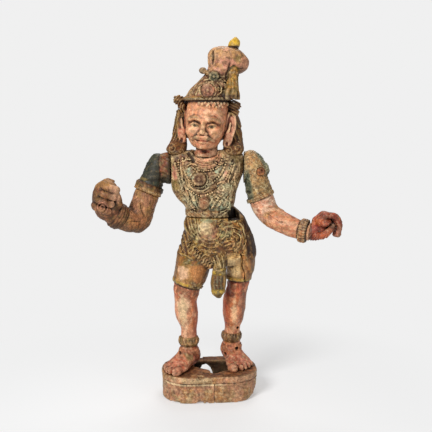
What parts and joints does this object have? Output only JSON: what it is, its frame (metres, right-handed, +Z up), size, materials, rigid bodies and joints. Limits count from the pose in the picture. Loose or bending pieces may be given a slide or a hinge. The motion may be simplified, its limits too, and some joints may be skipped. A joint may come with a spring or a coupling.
{
  "type": "temple figure",
  "caption": "Carved and painted wooden temple figure: a standing attendant in a tall soft cap, both arms bent out to the sides, on a low oval plinth.",
  "frame": {"origin": "centre of the plinth's flat underside", "axes": "+Z up, the figure faces -Y and its left hand is on the +X side"},
  "size_m": [0.5809, 0.1981, 0.874],
  "materials": {
    "plinth_wood": "worn bare wood with old paint and dirt",
    "lower_body_paint": "worn painted wood",
    "torso_paint": "worn painted wood",
    "head_paint": "worn painted wood",
    "sleeve_paint": "worn dark painted wood",
    "forearm_wood": "bare wood with traces of paint",
    "left_arm_paint": "worn painted wood",
    "left_hand_paint": "worn painted wood",
    "peg_wood": "bare wood"
  },
  "bodies": {
    "root": {"plinth": "plinth_wood", "lower_body": "lower_body_paint", "torso": "torso_paint", "head": "head_paint", "right_upper_arm": "sleeve_paint", "right_forearm": "forearm_wood", "left_arm": "left_arm_paint", "left_hand": "left_hand_paint", "shoulder_peg": "peg_wood"}
  },
  "joints": []
}
